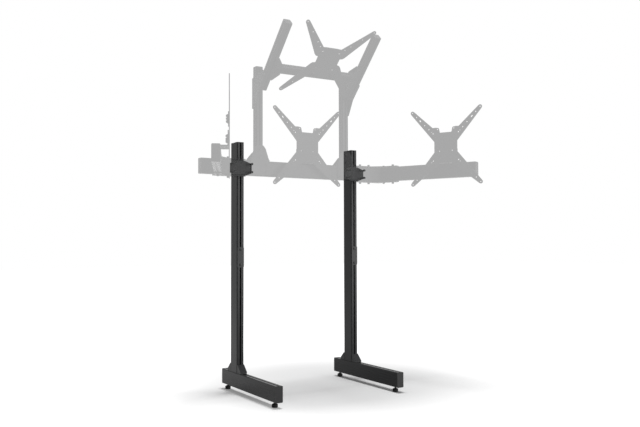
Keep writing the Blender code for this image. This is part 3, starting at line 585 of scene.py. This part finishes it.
def placeSet(name, kind, places, body, coat):
    # Copies of one small part at (point, direction) places, joined as one piece on one body
    copies = []
    for number, (point, direction) in enumerate(places):
        copy = masters[kind].copy()
        copy.data = masters[kind].data.copy()
        bpy.context.scene.collection.objects.link(copy)
        spin = Matrix.Rotation(number * spinStep, 4, "Z")
        turn = Vector(upward).rotation_difference(Vector(direction)).to_matrix().to_4x4()
        copy.data.transform(Matrix.Translation(Vector(point)) @ turn @ spin)
        copies.append(copy)
    piece = joinPieces(copies, name)
    piece.data.materials.clear()
    piece.data.materials.append(coats[coat])
    bpy.ops.object.shade_smooth_by_angle(angle=smoothBelow)
    selectOnly()
    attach(piece, body)


def middle(low, high):
    return (low + high) / 2


# Bolts of the legs and the beam: distances from the middle of each plate, unless its note says otherwise
splice = {"boltRise": 0.040}
bracket = {"boltX": 0.048, "boltZ": 0.0215, "flushDepth": 0.0006}
hinge = {
    "boltFromEnd": (0.2175, 0.1575),        # from the ends of the beam
    "lockReach": 0.060,                     # from the pivot, along the side arm
}
facePlate = {
    "boltX": 0.0365,
    "boltZ": 0.0215,
    "rises": (0.0165, 0.059),               # above the beam
}
corner = {
    "wall": 0.0203,                         # from the middle of the upright to the bracket's back
    "thickness": 0.006,
    "out": 0.020,                           # from the bracket's back
    "up": 0.029,                            # above the beam
}
bothSides = ((-1, "left"), (1, "right"))

beamLow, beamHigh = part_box("main_beam")
beamMiddle = middle(beamLow, beamHigh)
beamHalf = beamHigh.x

for side, word in bothSides:
    low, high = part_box("splice_plate_" + word)
    centre = middle(low, high)
    points = [(centre.x, low.y, centre.z + way * splice["boltRise"]) for way in (-1, 1)]
    placeSet("splice_screws_" + word, "screw", facing(toUser, points), "legs", "blackBolts")

    low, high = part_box("beam_bracket_" + word)
    centre = middle(low, high)
    columns = [centre.x + way * bracket["boltX"] for way in (-1, 1)]
    rows = [centre.z + way * bracket["boltZ"] for way in (-1, 1)]
    points = [(x, high.y, z) for x in columns for z in rows]
    placeSet("bracket_screws_" + word, "screw", facing(toBack, points), "beam", "blackBolts")
    points = [(x, low.y, z) for x in columns for z in rows]
    placeSet("bracket_bolts_" + word, "beamBolt", facing(toUser, points), "beam", "blackBolts")
    points = [(centre.x, low.y + bracket["flushDepth"], z) for z in rows]
    placeSet("bracket_flush_screws_" + word, "flush", facing(toUser, points), "beam", "blackBolts")

    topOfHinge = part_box("hinge_plate_top_" + word)[1].z
    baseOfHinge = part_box("hinge_plate_bottom_" + word)[0].z
    columns = [side * (beamHalf - reach) for reach in hinge["boltFromEnd"]]
    places = facing(upward, [(x, beamMiddle.y, topOfHinge) for x in columns])
    places += facing(downward, [(x, beamMiddle.y, baseOfHinge) for x in columns])
    placeSet("hinge_screws_" + word, "tallScrew", places, "beam", "paleBolts")

    low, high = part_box("arm_pivot_bolt_" + word)
    pivot = middle(low, high)
    lockX = pivot.x + side * sin(armAngle) * hinge["lockReach"]
    lockY = pivot.y - cos(armAngle) * hinge["lockReach"]
    places = [((lockX, lockY, topOfHinge), upward), ((lockX, lockY, baseOfHinge), downward)]
    placeSet("arm_lock_screws_" + word, "tallScrew", places, "side_arm_" + word, "paleBolts")

    low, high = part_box("face_plate_" + word)
    uprightX = middle(low, high).x
    columns = [uprightX + way * facePlate["boltX"] for way in (-1, 1)]
    rows = [beamMiddle.z + way * facePlate["boltZ"] for way in (-1, 1)]
    points = [(x, low.y, z) for x in columns for z in rows]
    points += [(uprightX, low.y, beamHigh.z + rise) for rise in facePlate["rises"]]
    placeSet("face_plate_screws_" + word, "screw", facing(toUser, points), "beam", "paleBolts")

    places = []
    for way in (-1, 1):
        wall = uprightX + way * corner["wall"]
        onBeam = (wall + way * corner["out"], beamMiddle.y, beamHigh.z + corner["thickness"])
        onUpright = (wall + way * corner["thickness"], beamMiddle.y, beamHigh.z + corner["up"])
        places += [(onBeam, upward), (onUpright, (way, 0, 0))]
    placeSet("upright_corner_screws_" + word, "screw", places, "beam", "paleBolts")
print("bolts of legs and beam placed")


# Bolts of the overhead frame: distances along the leaning arms, from their feet
lean = {
    "pivot": 0.025,
    "lock": 0.075,
    "bolts": (-0.082, 0.042),       # heights on the tilt plate, from the foot of the arm
    "crossbar": 0.1313,
    "half": 0.020,                  # half the width of the crossbar and of an upright
    "cornerMiddle": 0.023,          # from the face of the crossbar
}
upAxis = Vector((0.0, -sin(leanAngle), cos(leanAngle)))

for side, word in bothSides:
    low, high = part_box("tilt_plate_" + word)
    outside = high.x if side > 0 else low.x
    pivotLow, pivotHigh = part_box("tilt_pivot_bolt_" + word)
    pivot = middle(pivotLow, pivotHigh)
    foot = Vector((0.0, pivot.y, pivot.z)) - upAxis * lean["pivot"]
    outward = (side, 0, 0)
    points = [(outside, beamMiddle.y, foot.z + rise) for rise in lean["bolts"]]
    placeSet("tilt_plate_screws_" + word, "screw", facing(outward, points), "beam", "paleBolts")
    lock = foot + upAxis * lean["lock"]
    places = [((outside, lock.y, lock.z), outward)]
    placeSet("tilt_lock_screw_" + word, "screw", places, "overhead_arms", "paleBolts")
    inside = middle(*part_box("upright_" + word)).x - side * lean["half"]
    places = []
    for way in (-1, 1):
        onBar = foot + upAxis * (lean["crossbar"] + way * (lean["half"] + corner["thickness"]))
        onBar.x = inside - side * corner["out"]
        onArm = foot + upAxis * (lean["crossbar"] + way * (lean["half"] + lean["cornerMiddle"]))
        onArm.x = inside - side * corner["thickness"]
        places += [(onBar, upAxis * way), (onArm, (-side, 0, 0))]
    placeSet("crossbar_corner_screws_" + word, "screw", places, "overhead_bar", "paleBolts")
print("bolts of the overhead frame placed")


# Bolts of the monitor plates: distances across, up and in front of the middle of each plate
mount = {
    "face": 0.004,                          # front of the plate
    "stiffener": -0.004,                    # back of the stiffener
    "leg": -0.0053,                         # back of the carriage's upright leg
    "columns": (-0.014, 0.014),
    "rows": (0.033, 0.046, 0.059),          # nuts, above and below the middle
    "flange": 0.0053,                       # thickness of the carriage's flange
    "half": 0.020,                          # half the width of the profile that carries it
}
armAlong = Vector((sin(armAngle), -cos(armAngle), 0.0))
armOuter = Vector((cos(armAngle), sin(armAngle), 0.0))
standard = {
    "up": Vector(upward),
    "rise": 0.087,                          # from the profile to the middle of the plate
    "offset": 0.036,                        # from the face of the profile to the plate
    "flangeX": 0.045,
    "bolts": ((0.031, 0.0575),),            # across, below the middle
}
mounts = {                                  # "plate" is the middle of the plate at rest
    "centre": dict(standard, across=Vector((1.0, 0.0, 0.0)), front=Vector(toUser),
                   plate=(0.0, 0.157731, 1.3098)),
    "right": dict(standard, across=armAlong, front=-armOuter, plate=(0.64421, -0.23647, 1.3098)),
    "left": dict(standard, across=Vector((-armAlong.x, armAlong.y, 0.0)),
                 front=Vector((armOuter.x, -armOuter.y, 0.0)), plate=(-0.64421, -0.23647, 1.3098)),
    "overhead": {
        "across": Vector((1.0, 0.0, 0.0)),
        "up": upAxis,
        "front": Vector((0.0, upAxis.y, -upAxis.z)),
        "plate": (0.0, -0.05259, 1.74089),
        "rise": 0.0986,
        "offset": 0.039,
        "flangeX": 0.030,
        "bolts": ((0.031, 0.031), (0.031, 0.0575)),
    },
}


def onPlate(setup, points, forward):
    # World places of (across, up) points, this far in front of the plate's middle
    across, up = setup["across"], setup["up"]
    start = Vector(setup["plate"])
    return [start + across * x + up * y + setup["front"] * forward for x, y in points]


for word, setup in mounts.items():
    body = "monitor_mount_" + word
    bolts = [(way * x, -drop) for way in (-1, 1) for x, drop in setup["bolts"]]
    upperNuts = [(x, y) for y in mount["rows"] for x in mount["columns"]]
    lowerNuts = [(x, -y) for x, y in upperNuts]
    nuts = onPlate(setup, upperNuts, mount["stiffener"]) + onPlate(setup, lowerNuts + bolts, mount["leg"])
    placeSet("mount_nuts_" + word, "nut", facing(-setup["front"], nuts), body, "paleBolts")
    heads = onPlate(setup, bolts, mount["face"])
    placeSet("mount_heads_" + word, "flush", facing(setup["front"], heads), body, "paleBolts")
    flange = [(way * setup["flangeX"], mount["flange"] - setup["rise"]) for way in (-1, 1)]
    screws = onPlate(setup, flange, -setup["offset"] - mount["half"])
    placeSet("mount_flange_screws_" + word, "screw", facing(setup["up"], screws), body, "paleBolts")
print("bolts of the monitor plates placed")

for master in masters.values():
    bpy.data.objects.remove(master, do_unlink=True)
